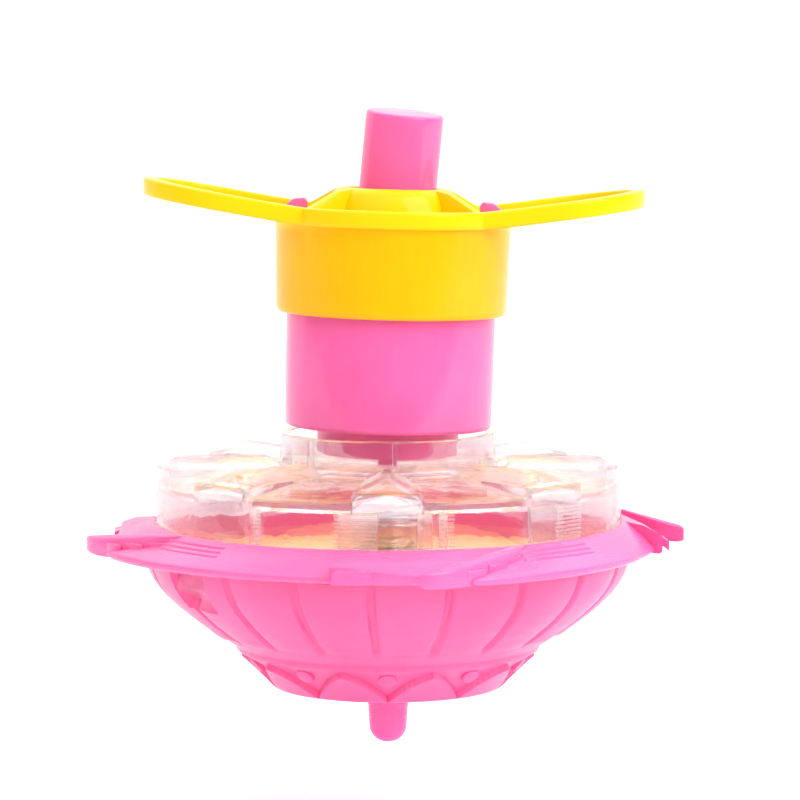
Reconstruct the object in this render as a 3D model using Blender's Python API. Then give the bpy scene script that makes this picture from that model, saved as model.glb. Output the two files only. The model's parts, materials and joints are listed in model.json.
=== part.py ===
"""Light up spinning top standing under its wind-up hand launcher.

Metres, +Z up, origin at the end of the peg that the top spins on. The launcher leans a little to +X
on the collar of the top, so its pieces hang from an empty on the launcher's own axis.
"""

import math

import bmesh
import bpy
from mathutils import Matrix, Vector

MM = 0.001
GAP = 0.3 * MM
ROUND = 40
SMALL_ROUND = 16

# The top, from the peg upwards
PEG_RADIUS = 3.2 * MM
PEG_FLAT = 0.8 * MM
PEG_TOP = 13.0 * MM
BOSS_RADIUS = 5.6 * MM
BOSS_BOTTOM = 7.9 * MM
BOWL_RADIUS = 39.8 * MM
BOWL_RIM = 29.9 * MM
BOWL_WALL = 1.7 * MM
SHELF_TOP = 31.6 * MM
SHELF_RADIUS = 36.6 * MM
RING_OUTER = 44.5 * MM
RING_RAMP = 1.8 * MM
RING_TWIST = 945.0
BLADE_TIP_RADIUS = 50.0 * MM
BLADE_TIP_AZIMUTH = 4.5
# Tip radius, spread and sweep in degrees, degrees past the tip, height and thickness of each blade
BLADES = (
    (BLADE_TIP_RADIUS, 20, 12, 0.0, 32.7 * MM, 1.9 * MM),
    (47.6 * MM, 34, 8, 11.4, 33.3 * MM, 1.7 * MM),
)
DRUM_OUTER = 38.8 * MM
DRUM_WALL = 1.4 * MM
DRUM_BOTTOM = 37.2 * MM
DRUM_TOP_RADIUS = 38.3 * MM
DECK_RIM = 44.7 * MM
DECK_MIDDLE = 46.6 * MM
DECK_THICK = 1.5 * MM
PETAL_EAVE = 46.1 * MM
PETAL_RIDGE = 48.3 * MM
PETAL_COUNT = 8
COLLAR_OUTER = 17.8 * MM
COLLAR_INNER = 16.3 * MM
COLLAR_TOP = 52.1 * MM
COLLAR_FLOOR = 46.9 * MM
TAB_AZIMUTHS = (216.0, 36.0)
FOIL_BOTTOM = SHELF_TOP + GAP
BOARD_BOTTOM = 28.4 * MM
BOARD_TOP = 29.6 * MM
BOARD_RADIUS = 31.0 * MM
SCREW_CIRCLE = 27.5 * MM
CELL_RADIUS = 5.8 * MM
CELL_PITCH = 5.5 * MM
CELL_BASE = 23.0 * MM
LED_CIRCLE = 20.0 * MM

# The launcher, along its own axis
LAUNCHER_LEAN = math.radians(1.5)
LEAN_HEIGHT = 52.4 * MM
BARREL_BOTTOM = 53.1 * MM
BARREL_RADIUS = 17.2 * MM
BARREL_WALL = 1.6 * MM
BARREL_TOP = 84.5 * MM
SPIGOT_RADIUS = 11.7 * MM
SPIGOT_BOTTOM = 48.3 * MM
SHAFT_RADIUS = 4.4 * MM
SPINDLE_TIP_RADIUS = 2.7 * MM
SKIRT_BOTTOM = 71.8 * MM
SKIRT_RADIUS = 19.4 * MM
CAP_FLOOR = 87.7 * MM
CAP_FLOOR_THICK = 1.5 * MM
TURRET_TOP = 92.5 * MM
TURRET_HOLE = 7.6 * MM
STRAP_HEIGHT = 2.9 * MM
STRAP_THICK = 2.2 * MM
LOOP_TIP = 40.4 * MM
LOOP_HALF_WIDTH = 12.6 * MM
LOOP_RISE = math.radians(8.8)
HOOK_INNER = 14.2 * MM
BUTTON_RADIUS = 6.4 * MM
BUTTON_TOP = 105.0 * MM
BUTTON_PIVOT = 84.0 * MM
BUTTON_LEAN_RIGHT = math.radians(4.1)
BUTTON_LEAN_FRONT = math.radians(4.4)
LEVER_AZIMUTH = 43.0
LEVER_PIVOT_RADIUS = 14.0 * MM
LEVER_PIVOT_HEIGHT = 81.8 * MM

PINK = (1.0, 0.16, 0.45, 1.0)
MAGENTA = (1.0, 0.2, 0.6, 1.0)
YELLOW = (1.0, 0.68, 0.02, 1.0)
WHITE = (0.85, 0.85, 0.82, 1.0)
STEEL = (0.6, 0.6, 0.62, 1.0)


def make_material(name, color, roughness=0.3, metallic=0.0, alpha=1.0):
    material = bpy.data.materials.new(name)
    material.use_nodes = True
    shader = material.node_tree.nodes["Principled BSDF"]
    shader.inputs["Base Color"].default_value = color
    shader.inputs["Roughness"].default_value = roughness
    shader.inputs["Metallic"].default_value = metallic
    shader.inputs["Alpha"].default_value = alpha
    return material


def add_object(name, mesh, material=None, parent=None):
    piece = bpy.data.objects.new(name, mesh)
    bpy.context.scene.collection.objects.link(piece)
    if material:
        mesh.materials.append(material)
    if parent:
        piece.parent = parent
    return piece


def finish_mesh(name, bm, smooth=True):
    bmesh.ops.remove_doubles(bm, verts=bm.verts, dist=1e-6)
    bmesh.ops.recalc_face_normals(bm, faces=bm.faces)
    mesh = bpy.data.meshes.new(name)
    bm.to_mesh(mesh)
    bm.free()
    if smooth:
        mesh.shade_smooth()
        mesh.set_sharp_from_angle(angle=math.radians(35))
    return mesh


def turned_into(bm, profile, steps=ROUND, centre=(0.0, 0.0)):
    """Spins a closed outline of (radius, height) points about a vertical axis through centre."""
    x, y = centre
    corners = [bm.verts.new((x + r, y, z)) for r, z in profile]
    edges = [bm.edges.new((corners[i - 1], corners[i])) for i in range(len(corners))]
    bmesh.ops.spin(
        bm,
        geom=corners + edges,
        cent=(x, y, 0.0),
        axis=(0.0, 0.0, 1.0),
        angle=math.tau,
        steps=steps,
        use_merge=True,
    )
    on_axis = [v for v in bm.verts if math.hypot(v.co.x - x, v.co.y - y) < 1e-7]
    bmesh.ops.remove_doubles(bm, verts=on_axis, dist=1e-6)
    bmesh.ops.dissolve_degenerate(bm, edges=bm.edges, dist=1e-8)
    loose = [e for e in bm.edges if not e.link_faces]
    bmesh.ops.delete(bm, geom=loose, context="EDGES")


def turned(name, profile, steps=ROUND, centre=(0.0, 0.0)):
    bm = bmesh.new()
    turned_into(bm, profile, steps, centre)
    return finish_mesh(name, bm)


def disc_profile(inner, outer, low, high):
    return [(inner, high), (outer, high), (outer, low), (inner, low)]


def extruded_into(bm, outline, thickness, place):
    """Extrudes a flat outline of (x, y) points by thickness along +Z, then puts it in place."""
    verts = [bm.verts.new((x, y, 0.0)) for x, y in outline]
    face = bm.faces.new(verts)
    grown = bmesh.ops.extrude_face_region(bm, geom=[face])["geom"]
    moved = [v for v in grown if isinstance(v, bmesh.types.BMVert)]
    bmesh.ops.translate(bm, verts=moved, vec=(0.0, 0.0, thickness))
    bmesh.ops.transform(bm, verts=verts + moved, matrix=place)


def extruded(name, outline, thickness, place):
    bm = bmesh.new()
    extruded_into(bm, outline, thickness, place)
    return finish_mesh(name, bm, smooth=False)


def box_into(bm, size, place):
    made = bmesh.ops.create_cube(bm, size=1.0)["verts"]
    bmesh.ops.transform(bm, verts=made, matrix=place @ Matrix.Diagonal((*size, 1.0)))


def around(azimuth, radius=0.0, height=0.0):
    """A place at an azimuth in degrees, with local X pointing away from the axis."""
    turn = Matrix.Rotation(math.radians(azimuth), 4, "Z")
    return turn @ Matrix.Translation((radius, 0.0, height))


def upright(azimuth, half_width):
    """Stands a flat (radius, height) outline up at an azimuth, centred on its extrusion."""
    turn = Matrix.Rotation(math.radians(azimuth), 4, "Z")
    return turn @ Matrix.Translation((0.0, half_width, 0.0)) @ Matrix.Rotation(math.pi / 2, 4, "X")


def combine(piece, mesh, operation):
    """Adds another closed mesh to a piece, or cuts it out, and keeps the result."""
    tool = add_object("tool_" + operation.lower(), mesh)
    tool.hide_render = True
    tool.display_type = "WIRE"
    cut = piece.modifiers.new("Join", "BOOLEAN")
    cut.operation = operation
    cut.solver = "EXACT"
    cut.object = tool
    bpy.context.view_layer.update()
    result = piece.evaluated_get(bpy.context.evaluated_depsgraph_get())
    made = bpy.data.meshes.new_from_object(result)
    piece.modifiers.remove(cut)
    old = piece.data
    piece.data = made
    bpy.data.objects.remove(tool)
    bpy.data.meshes.remove(old)


def coil_mesh(name, radius, wire, low, high, turns, sides=8, per_turn=16):
    """A round wire wound upwards, its ends closed by flat caps."""
    bm = bmesh.new()
    count = int(turns * per_turn)
    rings = []
    for i in range(count + 1):
        share = i / count
        angle = share * turns * math.tau
        centre = Vector((radius * math.cos(angle), radius * math.sin(angle), low + (high - low) * share))
        out = Vector((math.cos(angle), math.sin(angle), 0.0))
        ring = []
        for k in range(sides):
            around_wire = math.tau * k / sides
            offset = out * math.cos(around_wire) + Vector((0.0, 0.0, math.sin(around_wire)))
            ring.append(bm.verts.new(centre + offset * wire))
        rings.append(ring)
    for first, second in zip(rings, rings[1:]):
        for k in range(sides):
            bm.faces.new((first[k - 1], first[k], second[k], second[k - 1]))
    bm.faces.new(rings[0])
    bm.faces.new(rings[-1])
    return finish_mesh(name, bm)


def make_peg(material):
    head_low = PEG_TOP - 1.6 * MM
    round_height = PEG_RADIUS - PEG_FLAT
    end = [(PEG_FLAT + round_height * math.sin(a), round_height * (1 - math.cos(a))) for a in
           (math.radians(step * 18) for step in range(6))]
    profile = [(0.0, 0.0)] + end + [
        (PEG_RADIUS + 0.3 * MM, BOSS_BOTTOM),
        (PEG_RADIUS + 0.3 * MM, head_low),
        (BOSS_RADIUS, head_low),
        (BOSS_RADIUS, PEG_TOP),
        (0.0, PEG_TOP),
    ]
    return add_object("spin_tip", turned("spin_tip", profile, SMALL_ROUND), material)


def make_bowl(material):
    hole = PEG_RADIUS + 0.6 * MM
    outer = [
        (BOSS_RADIUS, BOSS_BOTTOM),
        (9.6 * MM, 8.3 * MM),
        (16.2 * MM, 9.5 * MM),
        (18.6 * MM, 10.7 * MM),
        (24.4 * MM, 15.0 * MM),
        (25.2 * MM, 16.5 * MM),
        (29.4 * MM, 18.7 * MM),
        (33.5 * MM, 21.5 * MM),
        (37.6 * MM, 25.8 * MM),
        (BOWL_RADIUS, BOWL_RIM),
    ]
    inner = [
        (BOWL_RADIUS - BOWL_WALL, BOWL_RIM),
        (35.8 * MM, 26.0 * MM),
        (32.0 * MM, 22.4 * MM),
        (28.4 * MM, 20.2 * MM),
        (23.6 * MM, 17.4 * MM),
        (17.6 * MM, 12.3 * MM),
        (15.4 * MM, 11.1 * MM),
        (hole, 11.1 * MM),
    ]
    bowl = add_object("bowl_shell", turned("bowl_shell", [(hole, BOSS_BOTTOM)] + outer + inner), material)
    posts = bmesh.new()
    for azimuth in (30.0, 150.0, 270.0):
        spot = around(azimuth, SCREW_CIRCLE).translation
        turned_into(posts, disc_profile(1.2 * MM, 2.2 * MM, 19.1 * MM, BOARD_BOTTOM - GAP), 12, (spot.x, spot.y))
    combine(bowl, finish_mesh("bosses", posts), "UNION")
    seat = turned("seat", disc_profile(13.6 * MM, 15.0 * MM, 10.6 * MM, 14.7 * MM))
    combine(bowl, seat, "UNION")
    windows = bmesh.new()
    for azimuth in TAB_AZIMUTHS:
        box_into(windows, (8 * MM, 9 * MM, 8 * MM), around(azimuth, 39 * MM, 29.9 * MM))
    combine(bowl, finish_mesh("windows", windows, smooth=False), "DIFFERENCE")
    return bowl


def blade_outline(tip_radius, spread, sweep):
    """A swept blade whose tip lies at azimuth 0, its root spread out behind it."""
    root = RING_OUTER - 2.0 * MM
    points = []
    for share in (0.0, 0.25, 0.5, 0.75, 1.0):
        angle = math.radians(spread * (1 - share) + 2.0)
        radius = root + (tip_radius - root) * math.sin(share * math.pi / 2) ** 0.9
        points.append((radius * math.cos(angle), radius * math.sin(angle)))
    points.append((tip_radius * math.cos(math.radians(-1.5)), tip_radius * math.sin(math.radians(-1.5))))
    points.append(((tip_radius - 2.2 * MM) * math.cos(math.radians(-2.5)),
                   (tip_radius - 2.2 * MM) * math.sin(math.radians(-2.5))))
    points.append((root * math.cos(math.radians(sweep)), root * math.sin(math.radians(sweep))))
    return points


def ring_section(share):
    """The ring's outline as (radius, height), share being how far it is past the last step."""
    left = 1.0 - share
    return [
        (35.0 * MM, SHELF_TOP),
        (SHELF_RADIUS, SHELF_TOP),
        (SHELF_RADIUS, DRUM_BOTTOM - GAP),
        (DRUM_OUTER + GAP, DRUM_BOTTOM - GAP),
        (DRUM_OUTER + GAP, 37.9 * MM),
        (40.2 * MM, 37.4 * MM + 0.2 * RING_RAMP * left),
        (RING_OUTER - 0.4 * MM * left, 34.5 * MM + RING_RAMP * left),
        (RING_OUTER, 33.0 * MM),
        (40.6 * MM, BOWL_RIM + GAP),
        (35.0 * MM, BOWL_RIM + GAP),
    ]


def ring_mesh():
    """Four ramps one after another, each falling from a swept step to the foot of the next one."""
    bm = bmesh.new()
    steps = 14
    rings = []
    for quarter in range(4):
        for i in range(steps + 1):
            start = BLADE_TIP_AZIMUTH - 14.5 + 90 * (quarter + i / steps)
            ring = []
            for radius, height in ring_section(i / steps):
                turn = math.radians(start + RING_TWIST * (RING_OUTER - radius))
                ring.append(bm.verts.new((radius * math.cos(turn), radius * math.sin(turn), height)))
            rings.append(ring)
    for first, second in zip(rings, rings[1:] + rings[:1]):
        for k in range(len(first)):
            bm.faces.new((first[k - 1], first[k], second[k], second[k - 1]))
    bmesh.ops.remove_doubles(bm, verts=bm.verts, dist=1e-6)
    bmesh.ops.dissolve_degenerate(bm, edges=bm.edges, dist=1e-7)
    return finish_mesh("blade_ring", bm)


def make_blade_ring(material):
    ring = add_object("blade_ring", ring_mesh(), material)
    for radius, spread, sweep, forward, low, thick in BLADES:
        blades = bmesh.new()
        for quarter in range(4):
            place = around(BLADE_TIP_AZIMUTH + forward + 90 * quarter, 0.0, low)
            extruded_into(blades, blade_outline(radius, spread, sweep), thick, place)
        combine(ring, finish_mesh("blades", blades, smooth=False), "UNION")
    slots = bmesh.new()
    for azimuth in TAB_AZIMUTHS:
        box_into(slots, (1.8 * MM, 9 * MM, 12 * MM), around(azimuth, 37.9 * MM, 33.2 * MM))
    combine(ring, finish_mesh("slots", slots, smooth=False), "DIFFERENCE")
    return ring


def petal_into(bm, azimuth):
    """A hip-roofed petal: a ridge along the radius, sloping sides and a sloping outer end."""
    inner, outer = 17.2 * MM, DRUM_TOP_RADIUS
    low, ridge = DECK_RIM - 1.0 * MM, PETAL_RIDGE
    half_in, half_out = 3.2 * MM, 5.4 * MM
    eave = PETAL_EAVE
    floor = [(inner, -half_in, low), (outer, -half_out, low), (outer, half_out, low), (inner, half_in, low)]
    roof = [(inner, -half_in, eave), (outer, -half_out, eave), (outer, half_out, eave), (inner, half_in, eave)]
    place = around(azimuth)
    f = [bm.verts.new(place @ Vector(p)) for p in floor]
    r = [bm.verts.new(place @ Vector(p)) for p in roof]
    start = bm.verts.new(place @ Vector((inner, 0.0, ridge)))
    end = bm.verts.new(place @ Vector((outer - 4.5 * MM, 0.0, ridge)))
    for loop in (f, (f[0], f[1], r[1], r[0]), (f[1], f[2], r[2], r[1]), (f[2], f[3], r[3], r[2]),
                 (f[3], f[0], r[0], start, r[3]), (r[0], r[1], end, start), (r[1], r[2], end),
                 (r[2], r[3], start, end)):
        bm.faces.new(loop)


def make_cover(material):
    inside = DRUM_OUTER - DRUM_WALL
    profile = [
        (0.0, COLLAR_FLOOR),
        (COLLAR_INNER, COLLAR_FLOOR),
        (COLLAR_INNER, COLLAR_TOP),
        (COLLAR_OUTER, COLLAR_TOP),
        (COLLAR_OUTER, DECK_MIDDLE),
        (DRUM_TOP_RADIUS, DECK_RIM),
        (DRUM_OUTER, DRUM_BOTTOM),
        (inside, DRUM_BOTTOM),
        (DRUM_TOP_RADIUS - DRUM_WALL, DECK_RIM - DECK_THICK),
        (COLLAR_OUTER, DECK_MIDDLE - DECK_THICK),
        (COLLAR_INNER, COLLAR_FLOOR - DECK_THICK),
        (0.0, COLLAR_FLOOR - DECK_THICK),
    ]
    cover = add_object("clear_cover", turned("clear_cover", profile), material)
    petals = bmesh.new()
    for index in range(PETAL_COUNT):
        petal_into(petals, 360 / PETAL_COUNT * index)
    combine(cover, finish_mesh("petals", petals, smooth=False), "UNION")
    details = bmesh.new()
    for azimuth in TAB_AZIMUTHS:
        box_into(details, (0.8 * MM, 8 * MM, 10.4 * MM), around(azimuth, 37.9 * MM, 33.2 * MM))
    for azimuth in (90.0, 210.0, 330.0):
        box_into(details, (3 * MM, 3 * MM, 1.4 * MM), around(azimuth, 9.5 * MM, COLLAR_FLOOR + 0.3 * MM))
    combine(cover, finish_mesh("details", details, smooth=False), "UNION")
    return cover


def make_lights_and_board(materials):
    foil = turned("foil_disc", disc_profile(6.6 * MM, SHELF_RADIUS - GAP, FOIL_BOTTOM, FOIL_BOTTOM + 0.3 * MM))
    add_object("foil_disc", foil, materials["foil"])
    board = add_object(
        "circuit_board",
        turned("circuit_board", disc_profile(7.8 * MM, BOARD_RADIUS, BOARD_BOTTOM, BOARD_TOP)),
        materials["board"],
    )
    holes = bmesh.new()
    for number, azimuth in enumerate((30.0, 150.0, 270.0), 1):
        spot = around(azimuth, SCREW_CIRCLE).translation
        centre = (spot.x, spot.y)
        turned_into(holes, disc_profile(0.0, 1.4 * MM, BOARD_BOTTOM - 2 * MM, BOARD_TOP + 2 * MM), 12, centre)
        head_low = BOARD_TOP + GAP
        screw = [
            (0.0, head_low + 1.2 * MM),
            (1.4 * MM, head_low + 1.2 * MM),
            (2.0 * MM, head_low + 0.7 * MM),
            (2.0 * MM, head_low),
            (0.9 * MM, head_low),
            (0.9 * MM, BOARD_BOTTOM - 6 * MM),
            (0.0, BOARD_BOTTOM - 7 * MM),
        ]
        name = f"board_screw_{number}"
        add_object(name, turned(name, screw, 12, centre), materials["steel"])
    combine(board, finish_mesh("holes", holes), "DIFFERENCE")
    for azimuth, colour in ((90.0, "red"), (210.0, "green"), (330.0, "blue")):
        spot = around(azimuth, LED_CIRCLE).translation
        low = BOARD_TOP + GAP
        lamp = [
            (0.0, low + 1.8 * MM),
            (1.0 * MM, low + 1.6 * MM),
            (1.5 * MM, low + 1.0 * MM),
            (1.9 * MM, low + 0.6 * MM),
            (1.9 * MM, low),
            (0.0, low),
        ]
        name = "led_" + colour
        add_object(name, turned(name, lamp, 16, (spot.x, spot.y)), materials[colour])
    spot = around(30.0, 16 * MM).translation
    chip = [
        (0.0, BOARD_TOP + 1.6 * MM),
        (1.8 * MM, BOARD_TOP + 1.4 * MM),
        (3.0 * MM, BOARD_TOP + 0.8 * MM),
        (3.4 * MM, BOARD_TOP + GAP),
        (0.0, BOARD_TOP + GAP),
    ]
    add_object("driver_chip", turned("driver_chip", chip, 16, (spot.x, spot.y)), materials["black"])


def make_battery(materials):
    for index, name in enumerate(("cell_lower", "cell_middle", "cell_upper")):
        low = CELL_BASE + CELL_PITCH * index
        top = low + CELL_PITCH - GAP
        cell = [
            (0.0, top),
            (4.9 * MM, top),
            (5.1 * MM, top - 0.6 * MM),
            (CELL_RADIUS, top - 0.7 * MM),
            (CELL_RADIUS, low),
            (0.0, low),
        ]
        add_object(name, turned(name, cell, 24), materials["chrome"])
    holder_low = 19.6 * MM
    holder = [
        (CELL_RADIUS + GAP, BOARD_BOTTOM - GAP),
        (7.4 * MM, BOARD_BOTTOM - GAP),
        (7.4 * MM, holder_low),
        (0.0, holder_low),
        (0.0, holder_low + 1.3 * MM),
        (CELL_RADIUS + GAP, holder_low + 1.3 * MM),
    ]
    add_object("battery_holder", turned("battery_holder", holder, 24), materials["white"])
    cone = [
        (0.0, CELL_BASE - GAP),
        (1.6 * MM, CELL_BASE - GAP),
        (5.0 * MM, CELL_BASE - 1.4 * MM),
        (5.0 * MM, CELL_BASE - 1.7 * MM),
        (0.0, CELL_BASE - 1.7 * MM),
    ]
    add_object("contact_bottom", turned("contact_bottom", cone, 20), materials["steel"])
    over = CELL_BASE + 3 * CELL_PITCH
    strip = [
        (-3.0 * MM, over),
        (7.9 * MM, over),
        (7.9 * MM, BOARD_TOP + GAP),
        (10.5 * MM, BOARD_TOP + GAP),
        (10.5 * MM, BOARD_TOP + 2 * GAP),
        (8.25 * MM, BOARD_TOP + 2 * GAP),
        (8.25 * MM, over + 0.35 * MM),
        (-3.0 * MM, over + 0.35 * MM),
    ]
    foil_notch = bmesh.new()
    box_into(foil_notch, (5.6 * MM, 4.4 * MM, 3 * MM), around(60.0, 8.0 * MM, FOIL_BOTTOM))
    combine(bpy.data.objects["foil_disc"], finish_mesh("notch", foil_notch, smooth=False), "DIFFERENCE")
    add_object("contact_top", extruded("contact_top", strip, 3.4 * MM, upright(60.0, 1.7 * MM)), materials["steel"])


def make_switch(materials):
    """Under the board: a weight on a spring swings out against a post when the top spins."""
    height = BOARD_BOTTOM - 3.8 * MM
    post_low = BOARD_BOTTOM - 5.6 * MM
    azimuth = 180.0
    post = [(20.6 * MM, BOARD_BOTTOM - GAP), (21.8 * MM, BOARD_BOTTOM - GAP), (21.8 * MM, post_low),
            (20.6 * MM, post_low)]
    add_object("switch_post", extruded("switch_post", post, 2.4 * MM, upright(azimuth, 1.2 * MM)),
               materials["steel"])
    along = around(azimuth, 0.0, height) @ Matrix.Rotation(math.pi / 2, 4, "Y")
    coil = coil_mesh("switch_spring", 1.1 * MM, 0.2 * MM, 8.4 * MM, 14.4 * MM, 6, sides=5, per_turn=9)
    coil.transform(along)
    add_object("switch_spring", coil, materials["steel"])
    weight = turned("switch_weight", disc_profile(0.0, 1.7 * MM, 15.0 * MM, 18.4 * MM), 16)
    weight.transform(along)
    add_object("switch_weight", weight, materials["brass"])


def make_weight_ring(material):
    profile = disc_profile(15.4 * MM, 20.6 * MM, 15.1 * MM, 18.1 * MM)
    add_object("weight_ring", turned("weight_ring", profile), material)


def make_spindle(parts, axis):
    profile = [
        (0.0, SPIGOT_BOTTOM),
        (SPIGOT_RADIUS, SPIGOT_BOTTOM),
        (SPIGOT_RADIUS, 55.3 * MM),
        (14.8 * MM, 55.3 * MM),
        (14.8 * MM, 56.9 * MM),
        (SHAFT_RADIUS, 56.9 * MM),
        (SHAFT_RADIUS, 71.0 * MM),
        (3.4 * MM, 71.0 * MM),
        (3.4 * MM, 76.4 * MM),
        (SPINDLE_TIP_RADIUS, 76.4 * MM),
        (SPINDLE_TIP_RADIUS, 77.9 * MM),
        (0.0, 77.9 * MM),
    ]
    spindle = add_object("drive_spindle", turned("drive_spindle", profile, 40), parts["pink"], axis)
    dogs = bmesh.new()
    for azimuth in (30.0, 150.0, 270.0):
        box_into(dogs, (3 * MM, 3 * MM, 1.2 * MM), around(azimuth, 9.5 * MM, SPIGOT_BOTTOM - 0.3 * MM))
    combine(spindle, finish_mesh("dogs", dogs, smooth=False), "UNION")
    teeth = []
    count = 14
    for index in range(count):
        start = math.tau * index / count
        for radius, offset in ((8.0 * MM, 0.0), (9.4 * MM, 0.02)):
            teeth.append((radius * math.cos(start + offset), radius * math.sin(start + offset)))
    lower = Matrix.Translation((0.0, 0.0, 71.3 * MM))
    wheel = add_object("ratchet_wheel", extruded("ratchet_wheel", teeth, 3.0 * MM, lower), parts["white"], axis)
    bore = turned("bore", [(0.0, 78 * MM), (3.7 * MM, 78 * MM), (3.7 * MM, 70 * MM), (0.0, 70 * MM)], 24)
    combine(wheel, bore, "DIFFERENCE")
    clip = turned("spindle_clip", disc_profile(3.7 * MM, 5.0 * MM, 74.6 * MM, 75.3 * MM), 24)
    add_object("spindle_clip", clip, parts["steel"], axis)


def mainspring_mesh():
    """A flat strip wound as a spiral from the shaft out to the barrel wall."""
    bm = bmesh.new()
    turns, per_turn = 4.5, 20
    inner, outer = 5.0 * MM, 15.1 * MM
    low, high, thick = 58.2 * MM, 67.2 * MM, 0.5 * MM
    count = int(turns * per_turn)
    rings = []
    for i in range(count + 1):
        share = i / count
        angle = share * turns * math.tau
        radius = inner + (outer - inner - thick) * share
        way = Vector((math.cos(angle), math.sin(angle), 0.0))
        corners = ((radius, low), (radius + thick, low), (radius + thick, high), (radius, high))
        rings.append([bm.verts.new(way * r + Vector((0.0, 0.0, z))) for r, z in corners])
    for first, second in zip(rings, rings[1:]):
        for k in range(4):
            bm.faces.new((first[k - 1], first[k], second[k], second[k - 1]))
    bm.faces.new(rings[0])
    bm.faces.new(rings[-1])
    return finish_mesh("mainspring", bm)


def make_barrel(parts, axis):
    inner = BARREL_RADIUS - BARREL_WALL
    floor_top = BARREL_BOTTOM + 1.6 * MM
    profile = [
        (12.0 * MM, BARREL_BOTTOM),
        (BARREL_RADIUS - 0.8 * MM, BARREL_BOTTOM),
        (BARREL_RADIUS - 0.3 * MM, BARREL_BOTTOM + 0.3 * MM),
        (BARREL_RADIUS - 0.1 * MM, BARREL_BOTTOM + 0.8 * MM),
        (BARREL_RADIUS + 0.2 * MM, BARREL_TOP),
        (inner, BARREL_TOP),
        (inner, floor_top),
        (12.0 * MM, floor_top),
    ]
    barrel = add_object("launcher_barrel", turned("launcher_barrel", profile), parts["pink"], axis)
    hook = [
        (HOOK_INNER, 82.0 * MM),
        (16.6 * MM, 82.0 * MM),
        (16.6 * MM, CAP_FLOOR + GAP),
        (18.4 * MM, CAP_FLOOR + GAP),
        (18.4 * MM, CAP_FLOOR + 1.2 * MM),
        (16.4 * MM, 90.6 * MM),
        (HOOK_INNER, 90.6 * MM),
    ]
    hooks = bmesh.new()
    for azimuth in (0.0, 180.0):
        extruded_into(hooks, hook, 5.2 * MM, upright(azimuth, 2.6 * MM))
    combine(barrel, finish_mesh("hooks", hooks, smooth=False), "UNION")


def make_launcher_inside(parts, axis):
    add_object("mainspring", mainspring_mesh(), parts["steel"], axis)
    wall_gap = BARREL_RADIUS - BARREL_WALL - GAP
    cover = disc_profile(SHAFT_RADIUS + GAP, wall_gap, 68.4 * MM, 69.8 * MM)
    add_object("spring_cover", turned("spring_cover", cover), parts["white"], axis)
    plate = add_object(
        "mechanism_plate",
        turned("mechanism_plate", disc_profile(3.0 * MM, wall_gap, 76.9 * MM, 78.1 * MM)),
        parts["white"],
        axis,
    )
    lugs = bmesh.new()
    for side in (-1, 1):
        place = around(LEVER_AZIMUTH) @ Matrix.Translation((13.4 * MM, side * 2.7 * MM, 80.6 * MM))
        box_into(lugs, (2.6 * MM, 1.2 * MM, 5.4 * MM), place)
    combine(plate, finish_mesh("lugs", lugs, smooth=False), "UNION")
    slot = bmesh.new()
    box_into(slot, (7 * MM, 3.4 * MM, 4 * MM), around(LEVER_AZIMUTH, 12.6 * MM, 77.5 * MM))
    pin_way = Matrix.Translation((LEVER_PIVOT_RADIUS, 0.0, LEVER_PIVOT_HEIGHT)) @ Matrix.Rotation(
        math.pi / 2, 4, "X"
    )
    pin_place = around(LEVER_AZIMUTH) @ pin_way
    combine(plate, finish_mesh("slot", slot, smooth=False), "DIFFERENCE")
    pin_hole = turned("pin_hole", disc_profile(0.0, 0.9 * MM, -4 * MM, 4 * MM), 12)
    pin_hole.transform(pin_place)
    combine(plate, pin_hole, "DIFFERENCE")
    pin = turned("lever_pin", disc_profile(0.0, 0.6 * MM, -3.3 * MM, 3.3 * MM), 12)
    pin.transform(pin_place)
    add_object("lever_pin", pin, parts["steel"], axis)
    wound = coil_mesh("lever_spring", 1.35 * MM, 0.15 * MM, -1.9 * MM, -1.35 * MM, 1.5, sides=5, per_turn=9)
    wound.transform(pin_place)
    add_object("lever_spring", wound, parts["steel"], axis)


def make_lever(parts, axis):
    """A bell crank: its inner arm lies under the button's flange, its leg hooks into the ratchet wheel."""
    pivot = Matrix.Rotation(math.radians(LEVER_AZIMUTH), 4, "Z") @ Vector(
        (LEVER_PIVOT_RADIUS, 0.0, LEVER_PIVOT_HEIGHT)
    )
    outline = [
        (-6.2 * MM, -0.7 * MM),
        (-6.2 * MM, 0.6 * MM),
        (0.4 * MM, 1.0 * MM),
        (1.0 * MM, 0.4 * MM),
        (1.0 * MM, -0.6 * MM),
        (-3.5 * MM, -8.6 * MM),
        (-4.3 * MM, -8.6 * MM),
        (-4.3 * MM, -7.2 * MM),
        (-1.2 * MM, -1.0 * MM),
    ]
    place = (
        Matrix.Rotation(math.radians(LEVER_AZIMUTH), 4, "Z")
        @ Matrix.Translation((0.0, 1.0 * MM, 0.0))
        @ Matrix.Rotation(math.pi / 2, 4, "X")
    )
    lever = add_object("release_lever", extruded("release_lever", outline, 2.0 * MM, place), parts["white"], axis)
    hole = turned("hole", disc_profile(0.0, 0.85 * MM, -3 * MM, 3 * MM), 12)
    hole.transform(place @ Matrix.Translation((0.0, 0.0, 1.0 * MM)))
    lever.location = (0.0, 0.0, 0.0)
    combine(lever, hole, "DIFFERENCE")
    lever.location = pivot


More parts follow.
